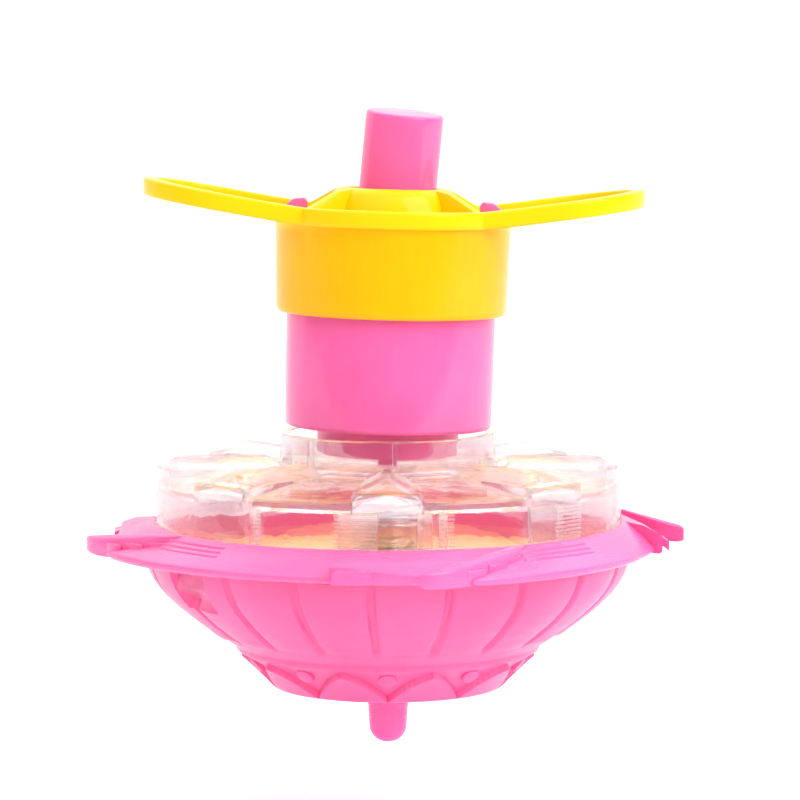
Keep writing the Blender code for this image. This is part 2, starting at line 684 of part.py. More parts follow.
def make_button(parts, axis):
    lean = bpy.data.objects.new("button_axis", None)
    bpy.context.scene.collection.objects.link(lean)
    lean.parent = axis
    lean.location = (0.0, 0.0, BUTTON_PIVOT)
    lean.rotation_euler = (BUTTON_LEAN_FRONT, BUTTON_LEAN_RIGHT, 0.0)
    top = BUTTON_TOP - BUTTON_PIVOT
    inner = BUTTON_RADIUS - 1.3 * MM
    stem = 1.5 * MM
    flange = 8.4 * MM
    low = -1.0 * MM
    profile = [
        (0.0, top),
        (BUTTON_RADIUS - 0.9 * MM, top),
        (BUTTON_RADIUS - 0.3 * MM, top - 0.25 * MM),
        (BUTTON_RADIUS - 0.1 * MM, top - 0.8 * MM),
        (BUTTON_RADIUS, low + 1.6 * MM),
        (flange, low + 1.6 * MM),
        (flange, low),
        (inner, low),
        (inner, top - 1.4 * MM),
        (stem, top - 1.4 * MM),
        (stem, top - 7.0 * MM),
        (0.0, top - 7.0 * MM),
    ]
    add_object("release_button", turned("release_button", profile, 40), parts["pink"], lean)
    spring = coil_mesh("button_spring", 3.8 * MM, 0.3 * MM, -5.2 * MM, top - 2.1 * MM, 8, sides=5, per_turn=12)
    add_object("button_spring", spring, parts["steel"], lean)


def strap_path():
    """The strap's centre line seen from above: half of it, then its mirror image behind."""
    rim = SKIRT_RADIUS
    front = []
    leave = math.radians(48)
    steps = 8
    for i in range(-steps, steps + 1):
        angle = leave * i / steps
        front.append((rim * math.sin(angle), -rim * math.cos(angle)))
    side = [
        (19.5 * MM, -LOOP_HALF_WIDTH),
        (25.0 * MM, -LOOP_HALF_WIDTH),
        (30.0 * MM, -LOOP_HALF_WIDTH + 0.6 * MM),
        (34.5 * MM, -9.8 * MM),
        (38.0 * MM, -6.6 * MM),
        (39.8 * MM, -3.2 * MM),
        (LOOP_TIP, 0.0),
    ]
    right = side[:-1] + [side[-1]] + [(x, -y) for x, y in reversed(side[:-1])]
    back = [(x, -y) for x, y in reversed(front)]
    left = [(-x, -y) for x, y in right]
    flat = front + right + back + left
    start = rim * math.sin(leave) + 1.0 * MM
    middle = CAP_FLOOR + 0.15 * MM
    return [Vector((x, y, middle + max(0.0, abs(x) - start) * math.tan(LOOP_RISE))) for x, y in flat]


def strap_mesh():
    """Sweeps the strap's upright section round its closed centre line."""
    path = strap_path()
    bm = bmesh.new()
    half_high, half_thick = STRAP_HEIGHT / 2, STRAP_THICK / 2
    section = [(math.cos(math.tau * k / 8 + math.pi / 8), math.sin(math.tau * k / 8 + math.pi / 8)) for k in range(8)]
    rings = []
    for i, centre in enumerate(path):
        along = path[(i + 1) % len(path)] - path[i - 1]
        out = Vector((along.y, -along.x, 0.0)).normalized()
        ring = [bm.verts.new(centre + out * (half_thick * c) + Vector((0.0, 0.0, half_high * s)))
                for c, s in section]
        rings.append(ring)
    for first, second in zip(rings, rings[1:] + rings[:1]):
        for k in range(8):
            bm.faces.new((first[k - 1], first[k], second[k], second[k - 1]))
    return finish_mesh("strap", bm)


def make_cap(parts, axis):
    floor_low = CAP_FLOOR - CAP_FLOOR_THICK
    inner = BARREL_RADIUS + 0.6 * MM
    profile = [
        (TURRET_HOLE, TURRET_TOP - 0.3 * MM),
        (8.6 * MM, TURRET_TOP),
        (9.7 * MM, TURRET_TOP - 0.5 * MM),
        (10.6 * MM, TURRET_TOP - 2.0 * MM),
        (11.1 * MM, CAP_FLOOR),
        (SKIRT_RADIUS + 0.2 * MM, CAP_FLOOR),
        (SKIRT_RADIUS + 0.1 * MM, 86.0 * MM),
        (SKIRT_RADIUS - 0.4 * MM, SKIRT_BOTTOM + 0.5 * MM),
        (SKIRT_RADIUS - 0.7 * MM, SKIRT_BOTTOM),
        (inner, SKIRT_BOTTOM),
        (inner, floor_low),
        (9.6 * MM, floor_low),
        (9.2 * MM, 89.6 * MM),
        (TURRET_HOLE, 90.6 * MM),
    ]
    cap = add_object("handle_cap", turned("handle_cap", profile), parts["yellow"], axis)
    combine(cap, strap_mesh(), "UNION")
    rib = [
        (9.0 * MM, CAP_FLOOR - 0.5 * MM),
        (SKIRT_RADIUS - 0.6 * MM, CAP_FLOOR - 0.5 * MM),
        (SKIRT_RADIUS - 0.6 * MM, CAP_FLOOR + 1.0 * MM),
        (12.0 * MM, TURRET_TOP - 0.5 * MM),
        (9.0 * MM, TURRET_TOP - 0.2 * MM),
    ]
    ribs = bmesh.new()
    for azimuth in (40.0, 140.0, 220.0, 320.0):
        extruded_into(ribs, rib, 1.6 * MM, upright(azimuth, 0.8 * MM))
    combine(cap, finish_mesh("ribs", ribs, smooth=False), "UNION")
    slots = bmesh.new()
    for azimuth in (0.0, 180.0):
        box_into(slots, (3.2 * MM, 6.2 * MM, 6 * MM), around(azimuth, 15.4 * MM, CAP_FLOOR - 1.5 * MM))
    combine(cap, finish_mesh("hook_slots", slots, smooth=False), "DIFFERENCE")


def main():
    for old in list(bpy.data.objects):
        bpy.data.objects.remove(old, do_unlink=True)
    parts = {
        "pink": make_material("pink_plastic", PINK),
        "magenta": make_material("magenta_plastic", MAGENTA),
        "yellow": make_material("yellow_plastic", YELLOW),
        "white": make_material("white_plastic", WHITE),
        "clear": make_material("clear_plastic", (1.0, 0.97, 0.98, 1.0), 0.05, 0.0, 0.25),
        "steel": make_material("steel", STEEL, 0.35, 1.0),
        "chrome": make_material("chrome", (0.8, 0.8, 0.82, 1.0), 0.1, 1.0),
        "brass": make_material("brass", (0.8, 0.6, 0.3, 1.0), 0.3, 1.0),
        "foil": make_material("foil", (0.9, 0.6, 0.35, 1.0), 0.2, 0.9),
        "board": make_material("board", (0.02, 0.25, 0.1, 1.0), 0.5),
        "black": make_material("black_resin", (0.01, 0.01, 0.01, 1.0), 0.4),
        "red": make_material("red_lens", (0.9, 0.02, 0.02, 1.0), 0.1),
        "green": make_material("green_lens", (0.02, 0.8, 0.05, 1.0), 0.1),
        "blue": make_material("blue_lens", (0.02, 0.05, 0.9, 1.0), 0.1),
    }
    make_peg(parts["pink"])
    make_bowl(parts["pink"])
    make_blade_ring(parts["magenta"])
    make_cover(parts["clear"])
    make_lights_and_board(parts)
    make_battery(parts)
    make_switch(parts)
    make_weight_ring(parts["steel"])

    lean_point = Matrix.Translation((0.0, 0.0, LEAN_HEIGHT))
    lean = lean_point @ Matrix.Rotation(LAUNCHER_LEAN, 4, "Y") @ lean_point.inverted()
    axis = bpy.data.objects.new("launcher_axis", None)
    bpy.context.scene.collection.objects.link(axis)
    make_spindle(parts, axis)
    make_barrel(parts, axis)
    make_launcher_inside(parts, axis)
    make_lever(parts, axis)
    make_button(parts, axis)
    make_cap(parts, axis)
    axis.matrix_world = lean
    bpy.context.view_layer.update()


main()
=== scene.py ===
import json
import math

import bmesh
import bpy
from mathutils import Matrix, Vector


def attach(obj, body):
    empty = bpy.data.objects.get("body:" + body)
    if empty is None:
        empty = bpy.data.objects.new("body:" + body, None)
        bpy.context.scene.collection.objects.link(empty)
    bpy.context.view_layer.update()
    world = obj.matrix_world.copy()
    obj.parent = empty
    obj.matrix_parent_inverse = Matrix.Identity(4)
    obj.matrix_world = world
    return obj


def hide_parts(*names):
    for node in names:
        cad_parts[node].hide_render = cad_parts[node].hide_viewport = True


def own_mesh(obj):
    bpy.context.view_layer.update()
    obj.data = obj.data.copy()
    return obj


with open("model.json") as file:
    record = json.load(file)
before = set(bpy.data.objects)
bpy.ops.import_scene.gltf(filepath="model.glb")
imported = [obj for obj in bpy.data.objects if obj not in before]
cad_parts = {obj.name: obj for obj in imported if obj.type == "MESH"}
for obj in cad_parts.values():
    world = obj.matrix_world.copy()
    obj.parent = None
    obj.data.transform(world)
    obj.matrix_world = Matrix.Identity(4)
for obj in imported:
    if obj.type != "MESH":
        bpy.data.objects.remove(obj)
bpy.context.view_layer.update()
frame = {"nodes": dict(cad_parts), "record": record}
slotOf = {part["node"]: part["material_slot"] for part in frame["record"]["subparts"]}
print("frame loaded,", len(frame["nodes"]), "nodes")

# everything is modelled in millimetres and scaled once, in addPiece
mm = 0.001
weldDistance = 0.002
lean = {"height": 52.4, "launcher": 1.5, "buttonHeight": 84, "buttonSide": 4.1, "buttonFront": 4.4}
leanPoint = Matrix.Translation((0, 0, lean["height"]))
launcherLean = leanPoint @ Matrix.Rotation(math.radians(lean["launcher"]), 4, "Y") @ leanPoint.inverted()
buttonLean = (
    launcherLean
    @ Matrix.Translation((0, 0, lean["buttonHeight"]))
    @ Matrix.Rotation(math.radians(lean["buttonSide"]), 4, "Y")
    @ Matrix.Rotation(math.radians(lean["buttonFront"]), 4, "X")
)


def addPiece(name, bm, body, material, nodes=(), place=None, sharp=32):
    if place:
        bmesh.ops.transform(bm, matrix=place, verts=bm.verts)
    bmesh.ops.remove_doubles(bm, verts=bm.verts, dist=weldDistance)
    bmesh.ops.recalc_face_normals(bm, faces=bm.faces)
    bmesh.ops.scale(bm, vec=(mm, mm, mm), verts=bm.verts)
    mesh = bpy.data.meshes.new(name)
    bm.to_mesh(mesh)
    bm.free()
    mesh.materials.append(material)
    mesh.shade_smooth()
    mesh.set_sharp_from_angle(angle=math.radians(sharp))
    piece = bpy.data.objects.new(name, mesh)
    bpy.context.scene.collection.objects.link(piece)
    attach(piece, body)
    if nodes:
        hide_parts(*nodes)
    return piece


def polar(radius, azimuth, height=0.0):
    turn = math.radians(azimuth)
    return Vector((radius * math.cos(turn), radius * math.sin(turn), height))


def smoothStep(low, high, value):
    share = min(1.0, max(0.0, (value - low) / (high - low)))
    return share * share * (3 - 2 * share)


def spinOutline(bm, outline, steps, centre=(0, 0)):
    # closed (radius, height) outline, turned about a vertical line
    corners = [bm.verts.new((centre[0] + r, centre[1], z)) for r, z in outline]
    edges = [bm.edges.new((corners[i - 1], corners[i])) for i in range(len(corners))]
    bmesh.ops.spin(bm, geom=corners + edges, cent=(centre[0], centre[1], 0), axis=(0, 0, 1),
                   angle=math.tau, steps=steps, use_merge=True)
    loose = [e for e in bm.edges if not e.link_faces]
    bmesh.ops.delete(bm, geom=loose, context="EDGES")


def roundedOutline(points, radius, cuts=3):
    # rounds every corner of a closed outline; a point may carry its own radius
    made = []
    count = len(points)
    for i, point in enumerate(points):
        here = Vector(point[:2])
        back = Vector(points[i - 1][:2]) - here
        on = Vector(points[(i + 1) % count][:2]) - here
        size = point[2] if len(point) > 2 else radius
        size = min(size, back.length * 0.45, on.length * 0.45)
        if size < 0.01:
            made.append(tuple(here))
            continue
        start, end = here + back.normalized() * size, here + on.normalized() * size
        for k in range(cuts + 1):
            t = k / cuts
            spot = start * (1 - t) ** 2 + here * (2 * t * (1 - t)) + end * t * t
            made.append(tuple(spot))
    return made


def loft(bm, rings, wrapAlong=True, wrapRound=True):
    made = [[bm.verts.new(p) for p in ring] for ring in rings]
    pairs = list(zip(made, made[1:] + made[:1])) if wrapAlong else list(zip(made, made[1:]))
    count = len(made[0])
    for first, second in pairs:
        for k in range(0 if wrapRound else 1, count):
            bm.faces.new((first[k - 1], first[k], second[k], second[k - 1]))
    return made


def prism(bm, outline, low, high, place, bevel=0.0, cuts=2):
    # a flat (x, y) outline raised from low to high, then put in place, its edges rounded
    verts = [bm.verts.new((x, y, low)) for x, y in outline]
    face = bm.faces.new(verts)
    grown = bmesh.ops.extrude_face_region(bm, geom=[face])["geom"]
    top = [g for g in grown if isinstance(g, bmesh.types.BMVert)]
    bmesh.ops.translate(bm, vec=(0, 0, high - low), verts=top)
    if bevel:
        edges = {e for v in verts + top for e in v.link_edges}
        bent = bmesh.ops.bevel(bm, geom=list(edges), offset=bevel, segments=cuts, profile=0.5,
                               affect="EDGES", material=-1)
        every = set(bent["verts"]) | {v for v in verts + top if v.is_valid}
    else:
        every = set(verts + top)
    bmesh.ops.transform(bm, matrix=place, verts=list(every))


def around(azimuth, radius=0.0, height=0.0):
    return Matrix.Rotation(math.radians(azimuth), 4, "Z") @ Matrix.Translation((radius, 0, height))


def upright(azimuth, halfWidth):
    return (Matrix.Rotation(math.radians(azimuth), 4, "Z") @ Matrix.Translation((0, halfWidth, 0))
            @ Matrix.Rotation(math.pi / 2, 4, "X"))


# shader maths: an expression on these values adds its Math nodes
class Wire:
    def __init__(self, paint, socket):
        self.paint = paint
        self.socket = socket

    def maths(self, operation, *others):
        return self.paint.node("ShaderNodeMath", {"operation": operation}, [self, *others])

    def __add__(self, other):
        return self.maths("ADD", other)

    def __mul__(self, other):
        return self.maths("MULTIPLY", other)

    __radd__ = __add__
    __rmul__ = __mul__


class Paint:
    def __init__(self, name):
        self.material = bpy.data.materials.new(name)
        self.material.use_nodes = True
        self.tree = self.material.node_tree
        self.shader = self.tree.nodes["Principled BSDF"]

    def node(self, kind, settings=None, inputs=(), output=0):
        made = self.tree.nodes.new(kind)
        for key, value in (settings or {}).items():
            setattr(made, key, value)
        pairs = inputs.items() if isinstance(inputs, dict) else enumerate(inputs)
        for key, value in pairs:
            self.join(made.inputs[key], value)
        return Wire(self, made.outputs[output])

    def join(self, socket, value):
        if isinstance(value, Wire):
            self.tree.links.new(value.socket, socket)
        elif value is not None:
            socket.default_value = value

    def set(self, **values):
        for key, value in values.items():
            self.join(self.shader.inputs[key.replace("_", " ")], value)

    def place(self):
        return self.node("ShaderNodeTexCoord", output=3)

    def noise(self, scale, detail=2.0, where=None, output=0, roughness=0.5):
        inputs = {"Vector": where or self.place(), "Scale": scale, "Detail": detail, "Roughness": roughness}
        return self.node("ShaderNodeTexNoise", {}, inputs, output)

    def stretch(self, where, factors):
        return self.node("ShaderNodeVectorMath", {"operation": "MULTIPLY"}, [where, factors])

    def mix(self, share, first, second):
        made = self.tree.nodes.new("ShaderNodeMix")
        made.data_type = "RGBA"
        for socket, value in zip((made.inputs[0], made.inputs[6], made.inputs[7]), (share, first, second)):
            self.join(socket, value)
        return Wire(self, made.outputs[2])

    def ramp(self, value, low, high, start=0.0, end=1.0):
        return self.node("ShaderNodeMapRange", {}, [value, low, high, start, end])

    def bump(self, height, strength, distance):
        inputs = {"Height": height, "Strength": strength, "Distance": distance}
        return self.node("ShaderNodeBump", {}, inputs)


def plastic(name, deep, light, roughness, shine=0.5, glow=0.0, paintedLightAbove=None):
    # moulded plastic: slow colour drift, flow lines, faint orange peel and fine scratches
    paint = Paint(name)
    where = paint.place()
    drift = paint.noise(55.0, 3.0, where)
    flow = paint.noise(900.0, 2.0, paint.stretch(where, (1.0, 1.0, 0.12)))
    scuffs = paint.noise(260.0, 6.0, paint.stretch(where, (0.25, 1.0, 3.0)), roughness=0.75)
    share = paint.ramp(drift * 0.8 + flow * 0.2, 0.35, 0.65)
    peel = paint.noise(1400.0, 1.0, where)
    colour = paint.mix(share, deep, light)
    if paintedLightAbove:
        # (height, colour): above this height the colour is painted paler, painted light on the cap top, strap and
        # loops
        level = paint.node("ShaderNodeSeparateXYZ", {}, [where], 2)
        colour = paint.mix(paint.ramp(level, paintedLightAbove[0], paintedLightAbove[0] + 0.0015), colour, paintedLightAbove[1])
    paint.set(
        Base_Color=colour,
        Roughness=paint.ramp(scuffs, 0.4, 0.75, roughness, roughness + 0.16),
        Normal=paint.bump(peel + scuffs * 0.4, 0.05, 0.0001),
        IOR=1.5,
        Specular_IOR_Level=shine,
        Subsurface_Weight=glow,
        Subsurface_Radius=(1.0, 0.35, 0.55),
        Subsurface_Scale=0.004,
    )
    return paint.material


bowlLook = plastic("pink_bowl", (0.95, 0.1, 0.31, 1), (0.98, 0.125, 0.37, 1), 0.3, glow=0.25)
barrelLook = plastic("pink_barrel", (0.94, 0.115, 0.36, 1), (0.97, 0.14, 0.42, 1), 0.08)
ringLook = plastic("magenta_ring", (0.93, 0.125, 0.37, 1), (0.96, 0.15, 0.43, 1), 0.2, 0.45)
# the yellow is painted paler above 85.5 mm: painted light on the cap top, strap and loops, not a change in the
# plastic
capLook = plastic("yellow_cap", (0.98, 0.44, 0.0, 1), (1.0, 0.52, 0.001, 1), 0.12, 0.2,
                  paintedLightAbove=(0.0855, (1.0, 0.63, 0.003, 1)))
# the spigot gets a brighter, more saturated copy of the pink plastic: painted light for the light the barrel and
# clear cover keep from it
spigotBrightenedLook = plastic("pink_spigot_brightened", (1.0, 0.1, 0.4, 1), (1.0, 0.13, 0.46, 1), 0.12, 0.7, 0.4)
# the peg gets a lighter copy of the pink plastic: painted light that cancels the shadow the bowl casts on it
pegBrightenedLook = plastic("pink_peg_brightened", (1.0, 0.12, 0.42, 1), (1.0, 0.15, 0.48, 1), 0.2, 0.5, 0.35)


def clearLook(name, cover):
    paint = Paint(name)
    where = paint.place()
    ripple = paint.noise(240.0, 2.0, where)
    haze = paint.noise(500.0, 5.0, where, roughness=0.7)
    paint.set(
        Base_Color=paint.mix(paint.ramp(ripple, 0.3, 0.7), (0.98, 0.93, 0.95, 1), (0.99, 0.96, 0.975, 1)),
        Roughness=paint.ramp(haze, 0.45, 0.8, 0.0, 0.06),
        Normal=paint.bump(ripple, 0.12, 0.0006),
        IOR=1.55,
        Transmission_Weight=1.0,
        Alpha=cover,
    )
    return paint.material


def foilLook():
    # metallised film printed with a star grid; its hue drifts with the viewing angle
    paint = Paint("holographic_film")
    where = paint.place()
    cells = paint.node("ShaderNodeTexVoronoi", {"feature": "F1", "distance": "MANHATTAN"},
                       {"Vector": where, "Scale": 210.0, "Randomness": 0.35}, 0)
    tint = paint.node("ShaderNodeTexVoronoi", {"feature": "F1", "distance": "MANHATTAN"},
                      {"Vector": where, "Scale": 210.0, "Randomness": 0.35}, 1)
    slow = paint.noise(34.0, 2.0, where)
    gold = paint.mix(paint.ramp(slow, 0.35, 0.65), (1.0, 0.74, 0.24, 1), (1.0, 0.52, 0.32, 1))
    star = paint.ramp(cells, 0.4, 0.46, 1.0, 0.0) * paint.ramp(slow, 0.4, 0.5)
    lavender = paint.mix(0.3, (0.36, 0.33, 0.95, 1), tint)
    film = paint.mix(star, gold, lavender)
    paint.set(
        Base_Color=film,
        # the film also glows faintly in its own colours: painted light that brightens it under the clear cover
        Emission_Color=film,
        Emission_Strength=0.3,
        Roughness=paint.ramp(slow, 0.3, 0.7, 0.25, 0.45),
        Metallic=paint.ramp(star, 0.0, 1.0, 0.55, 0.8),
        Normal=paint.bump(cells, 0.15, 0.0002),
    )
    return paint.material


def metalLook(name, colour, dark, roughness, stretch=(1, 1, 1)):
    paint = Paint(name)
    where = paint.stretch(paint.place(), stretch)
    grain = paint.noise(600.0, 4.0, where, roughness=0.6)
    marks = paint.noise(90.0, 3.0)
    paint.set(
        Base_Color=paint.mix(paint.ramp(marks, 0.35, 0.7), dark, colour),
        Roughness=paint.ramp(grain, 0.3, 0.7, roughness, roughness + 0.18),
        Metallic=1.0,
        Normal=paint.bump(grain, 0.1, 0.0001),
    )
    return paint.material


def dullLook(name, first, second, roughness=0.5, scale=300.0, clear=0.0):
    paint = Paint(name)
    spots = paint.noise(scale, 3.0)
    paint.set(
        Base_Color=paint.mix(paint.ramp(spots, 0.4, 0.6), first, second),
        Roughness=paint.ramp(spots, 0.3, 0.7, roughness, roughness + 0.15),
        Normal=paint.bump(spots, 0.08, 0.0001),
        Transmission_Weight=clear,
    )
    return paint.material


clearPlastic = clearLook("clear_polystyrene", 0.68)
tabLook = clearLook("clear_tab", 0.35)
slotLooks = {
    "yellow_plastic": capLook,
    "pink_plastic": barrelLook,
    "magenta_plastic": ringLook,
    "clear_plastic": clearPlastic,
    "holographic_foil": foilLook(),
    "spring_steel": metalLook("spring_steel", (0.62, 0.62, 0.64, 1), (0.42, 0.42, 0.45, 1), 0.25),
    "plain_steel": metalLook("plain_steel", (0.5, 0.5, 0.53, 1), (0.34, 0.34, 0.37, 1), 0.35),
    "cell_steel": metalLook("cell_steel", (0.8, 0.77, 0.77, 1), (0.6, 0.56, 0.57, 1), 0.12, (1, 1, 8)),
    "white_plastic": dullLook("white_acetal", (0.78, 0.78, 0.76, 1), (0.86, 0.86, 0.84, 1), 0.4),
    "board_laminate": dullLook("board_laminate", (0.015, 0.16, 0.06, 1), (0.03, 0.26, 0.11, 1), 0.35),
    "black_resin": dullLook("black_resin", (0.01, 0.01, 0.01, 1), (0.03, 0.03, 0.035, 1), 0.3),
    "red_lens": dullLook("red_lens", (0.75, 0.01, 0.01, 1), (0.9, 0.04, 0.03, 1), 0.08, 200.0, 0.4),
    "green_lens": dullLook("green_lens", (0.02, 0.6, 0.06, 1), (0.04, 0.8, 0.12, 1), 0.08, 200.0, 0.4),
    "blue_lens": dullLook("blue_lens", (0.02, 0.06, 0.7, 1), (0.04, 0.1, 0.9, 1), 0.08, 200.0, 0.4),
    "brass": metalLook("brass", (0.78, 0.56, 0.24, 1), (0.6, 0.4, 0.15, 1), 0.25),
}
for node, shape in frame["nodes"].items():
    for slot in shape.material_slots:
        slot.material = slotLooks[slotOf[node]]
print("materials made")

# fluted bowl, with the zigzag band and its dots below
bowl = {
    "azimuthSteps": 600,
    "flutes": 20,
    "fluteStart": 266.5,
    "fluteWidth": 1.5,
    "fluteDepth": 0.6,
    "bulge": 0.35,
    "scallop": 0.5,
    "zigzags": 10,
    "zigzagHeight": 1.0,
    "dotRadius": 1.4,
    "windows": (216.0, 36.0),
    "pocket": 1.6,
}


def bowlSurface():
    # (radius, height, how much it is a panel) from the rim to the peg hole
    panel = [(40.1, 32.38), (39.95, 31.3), (39.6, 30.2), (38.9, 28.6), (38.0, 27.2), (37.0, 26.0), (35.8, 24.8),
             (34.4, 23.5), (32.8, 22.2), (31.1, 20.9), (29.8, 19.95), (29.0, 19.4), (28.4, 19.0), (27.6, 18.4),
             (26.6, 17.7), (25.6, 17.05)]
    rows = [(r, z, smoothStep(28.2, 29.4, r)) for r, z in panel]
    rows += [(25.35, 16.8, 0.0), (25.3, 16.4, 0.0), (25.1, 16.0, 0.0)]
    for k in range(1, 25):
        share = k / 24
        rows.append((25.1 - 6.4 * share, 16.0 - 5.2 * share + 0.55 * math.sin(math.pi * share), 0.0))
    rows += [(18.4, 10.6, 0.0), (17.9, 10.4, 0.0), (17.2, 10.25, 0.0), (16.0, 10.1, 0.0), (13.5, 9.7, 0.0),
             (11.0, 9.2, 0.0), (8.6, 8.6, 0.0), (6.4, 8.1, 0.0), (5.4, 7.9, 0.0), (3.8, 7.9, 0.0)]
    fine = []
    for first, second in zip(rows, rows[1:]):
        cuts = 2 if first[2] == 1.0 and second[2] == 1.0 else 1
        for k in range(cuts):
            t = k / cuts
            fine.append(tuple(a + (b - a) * t for a, b in zip(first, second)))
    return fine + [rows[-1]]


def bowlPoint(radius, height, panel, azimuth):
    step = 360 / bowl["flutes"]
    share = ((azimuth - bowl["fluteStart"]) / step) % 1.0
    arc = min(share, 1 - share) * math.radians(step) * radius
    grow = 0.0
    if panel > 0:
        groove = 1 - smoothStep(bowl["fluteWidth"] * 0.28, bowl["fluteWidth"] * 0.55, arc)
        grow += panel * (bowl["bulge"] * (1 - (2 * share - 1) ** 2) - bowl["fluteDepth"] * groove)
        lower = 1 - smoothStep(19.0, 20.8, height)
        height -= panel * lower * bowl["scallop"] * (math.sin(math.pi * share) - 0.5)
    if 17.6 < radius < 25.0 and height < 15.9:
        turn = 360 / bowl["zigzags"]
        along = abs((((azimuth - 270) / turn) % 1.0) * 2 - 1)
        peak = 18.6 + 5.4 * (1 - along)
        below = 1 - smoothStep(peak - 0.12, peak + 0.12, radius)
        grow += bowl["zigzagHeight"] * below * smoothStep(17.6, 18.3, radius)
    for window in bowl["windows"]:
        off = abs((azimuth - window + 180) % 360 - 180) * math.radians(1) * 38
        depth = smoothStep(25.4, 26.2, height) * (1 - smoothStep(4.3, 4.6, off))
        grow -= bowl["pocket"] * depth
    slope = Vector((0.72, 0, -0.69)) if radius > 17.5 else Vector((0.1, 0, -0.99))
    return polar(radius + grow * slope.x, azimuth, height + grow * slope.z)


bm = bmesh.new()
rows = bowlSurface()
inner = [(3.8, 11.1), (15.4, 11.1), (17.6, 12.3), (23.6, 17.2), (28.0, 20.4), (31.4, 22.8), (35.4, 26.4),
         (38.3, 30.0), (38.5, 32.3)]
rings = []
for i in range(bowl["azimuthSteps"]):
    azimuth = 360 * i / bowl["azimuthSteps"]
    section = [bowlPoint(*row, azimuth) for row in rows]
    section += [polar(r, azimuth, z) for r, z in inner]
    rings.append(section)
loft(bm, rings)
for k in range(bowl["zigzags"]):
    size = bowl["dotRadius"]
    dot = roundedOutline([(0, 0.62, 0), (size, 0.5), (size + 0.12, -0.3), (0, -0.3, 0)], 0.12)
    disc = bmesh.new()
    spinOutline(disc, dot, 28)
    tip = Matrix.Rotation(math.radians(129), 4, "Y")
    place = around(270 + 36 * k) @ Matrix.Translation((22.5, 0, 14.3)) @ tip
    bmesh.ops.transform(disc, matrix=place, verts=disc.verts)
    holder = bpy.data.meshes.new("dot")
    disc.to_mesh(holder)
    disc.free()
    bm.from_mesh(holder)
addPiece("bowl_fluted", bm, "top", bowlLook, ["bowl_shell"], sharp=48)
print("bowl made")

# blade ring: in each quarter a rib runs out to the tip, a lower blade trails it, then a raised ramp
ring = {
    "tipAzimuth": 4.6,
    "ribSweep": 2.36,
    "rampSweep": 0.95,
    "ribWidth": 4.6,
    "rampStart": 74.0,
    "lip": 37.5,
    "bars": (47.0, 44.7, 42.4),
    "ridges": (40.6, 41.5, 42.4),
}
# (share of the way, rim radius, rim top, height at radius 42.5) of each of the three parts
ribShape = [(0, 49.3, 35.2, 37.1), (0.2, 49.85, 35.5, 37.25), (0.5, 50.0, 35.55, 37.3), (0.8, 49.8, 35.5, 37.2),
            (1, 49.1, 35.2, 36.9)]
bladeShape = [(0, 46.9, 33.8, 35.4), (0.015, 47.5, 34.0, 35.4), (0.04, 47.75, 34.1, 35.45),
              (0.2, 46.7, 34.2, 35.5),
              (0.5, 45.1, 34.2, 35.5), (0.8, 44.3, 34.1, 35.4), (1, 44.5, 34.0, 35.3)]
rampShape = [(0, 45.9, 36.0, 37.1), (0.08, 45.4, 35.9, 37.0), (0.3, 45.0, 35.3, 36.5), (1, 45.6, 33.9, 35.5)]


def alongShape(shape, share):
    for first, second in zip(shape, shape[1:]):
        if share <= second[0]:
            t = (share - first[0]) / (second[0] - first[0])
            return [a + (b - a) * t for a, b in zip(first[1:], second[1:])]
    return list(shape[-1][1:])


def ribLine(radius):
    return ring["ribSweep"] * (50 - max(radius, 39.0))


def rampLine(radius):
    return ring["rampStart"] + ring["rampSweep"] * (46 - max(radius, 38.7))


def ringSection(shape, share, quarter, start, end):
    rim, rimTop, middle = alongShape(shape, share)
    points = [
        (35.0, 31.6, 0), (36.6, 31.6, 0.1), (36.6, 36.9, 0.1), (38.5, 36.9, 0), (38.7, ring["lip"], 0.25),
        (39.5, ring["lip"] - 0.05, 0.3), (42.5, middle, 0), (rim - 0.5, rimTop, 0.3), (rim, rimTop - 0.35, 0.25),
        (rim, 33.2, 0.15), (rim - 0.5, 32.75, 0.2), (41.2, 32.6, 0.2), (40.4, 32.4, 0.1), (38.2, 32.4, 0),
        (38.2, 30.35, 0), (35.0, 30.35, 0),
    ]
    made = []
    for r, z in roundedOutline(points, 0.2, 3):
        azimuth = start(r) + (end(r) - start(r)) * share
        made.append(polar(r, ring["tipAzimuth"] + 90 * quarter + azimuth, z))
    return made


